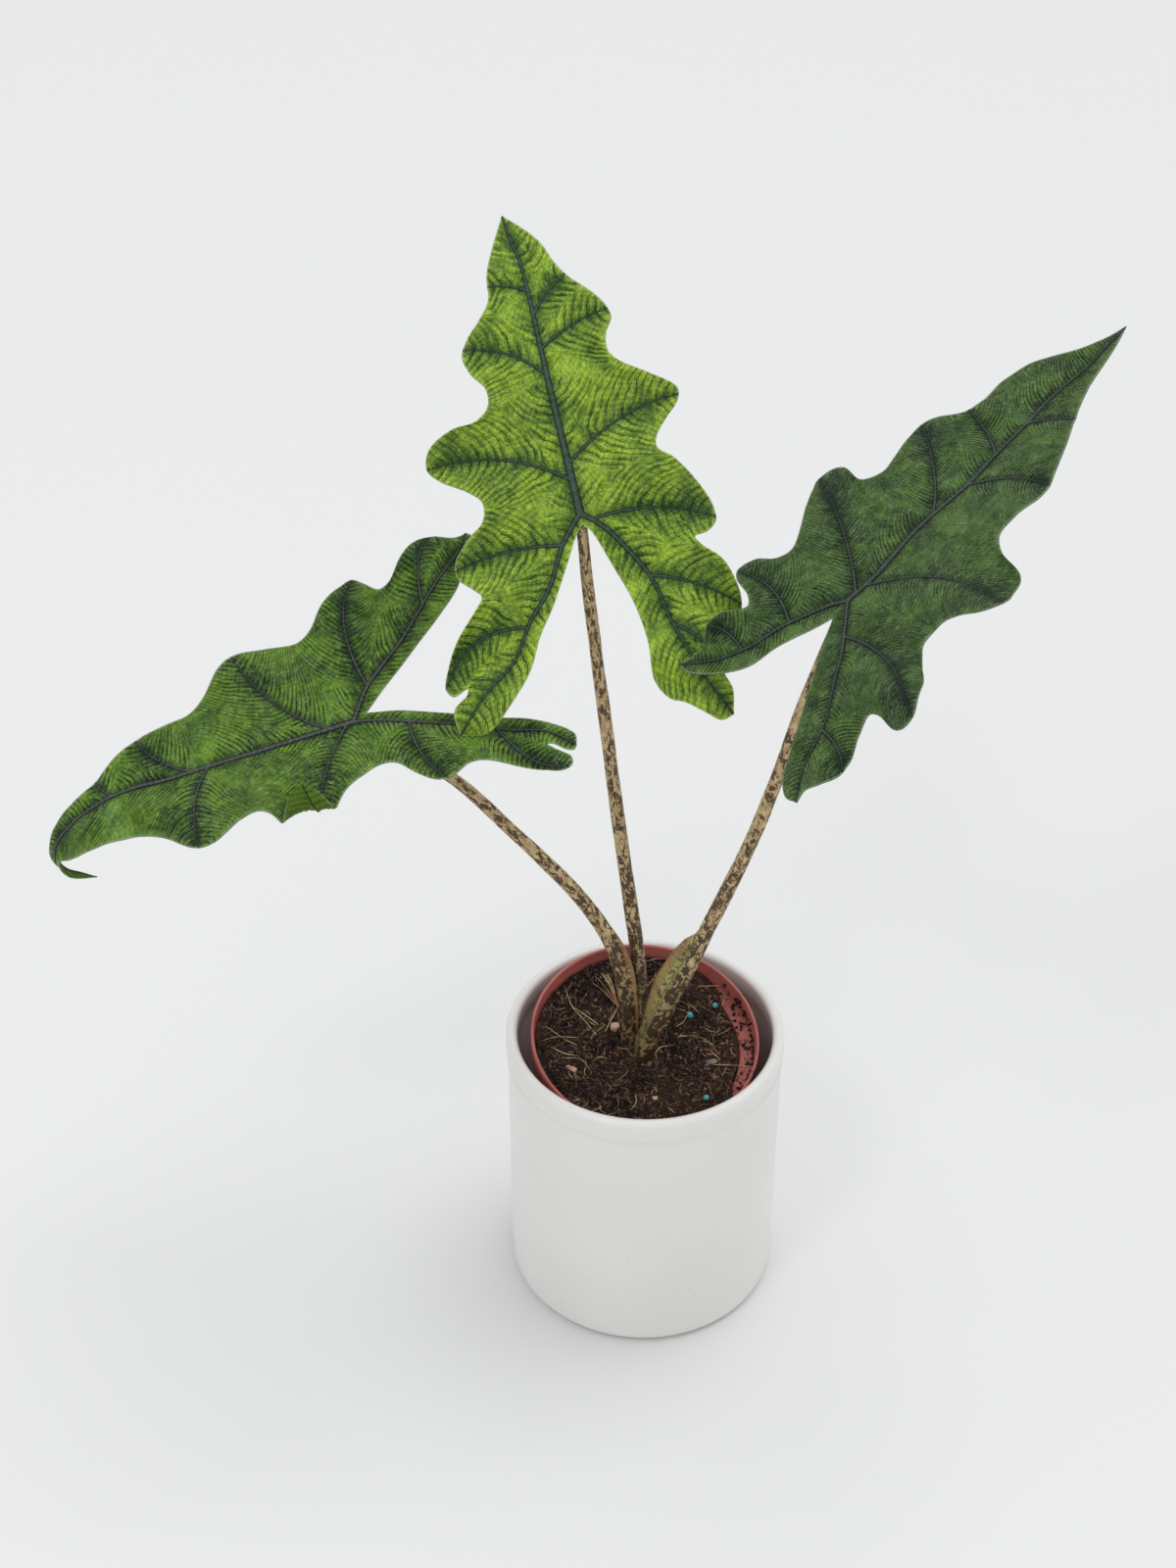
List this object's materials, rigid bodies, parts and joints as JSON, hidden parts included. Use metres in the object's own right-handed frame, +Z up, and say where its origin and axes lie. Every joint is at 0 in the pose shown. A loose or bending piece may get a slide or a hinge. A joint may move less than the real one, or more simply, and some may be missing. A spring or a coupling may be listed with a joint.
{
  "type": "potted jacklyn alocasia",
  "caption": "Potted house plant with lobed, dark-veined arrow leaves on mottled stalks, in a nursery pot leaning inside a plain glazed cachepot.",
  "frame": {"origin": "centre of the cachepot's flat foot, on the surface it stands on", "axes": "+Z up along the cachepot's axis, -Y towards the viewer of the picture, +X to the viewer's right"},
  "size_m": [0.5012, 0.2383, 0.5531],
  "materials": {
    "white_glaze": "white glaze with a soft gloss",
    "terracotta_plastic": "thin moulded terracotta-coloured plastic",
    "peat_soil": "crumbly dark peat with straw fibres",
    "corm_skin": "dry fibrous skin",
    "petiole_skin": "smooth beige skin with short dark mottles",
    "leaf_mature": "leathery mid-green leaf with dark veins",
    "leaf_young": "leathery lime-green leaf with dark veins",
    "leaf_old": "leathery dark grey-green leaf with dark veins",
    "bead_coating": "coated fertiliser grain"
  },
  "bodies": {
    "root": {"cachepot": "white_glaze", "nursery_pot": "terracotta_plastic", "soil": "peat_soil", "corm": "corm_skin", "petiole_left": "petiole_skin", "petiole_middle": "petiole_skin", "petiole_right": "petiole_skin", "leaf_left": "leaf_mature", "leaf_middle": "leaf_young", "leaf_right": "leaf_old", "fertiliser_bead_back": "bead_coating", "fertiliser_bead_right": "bead_coating", "fertiliser_bead_front": "bead_coating"}
  },
  "joints": []
}
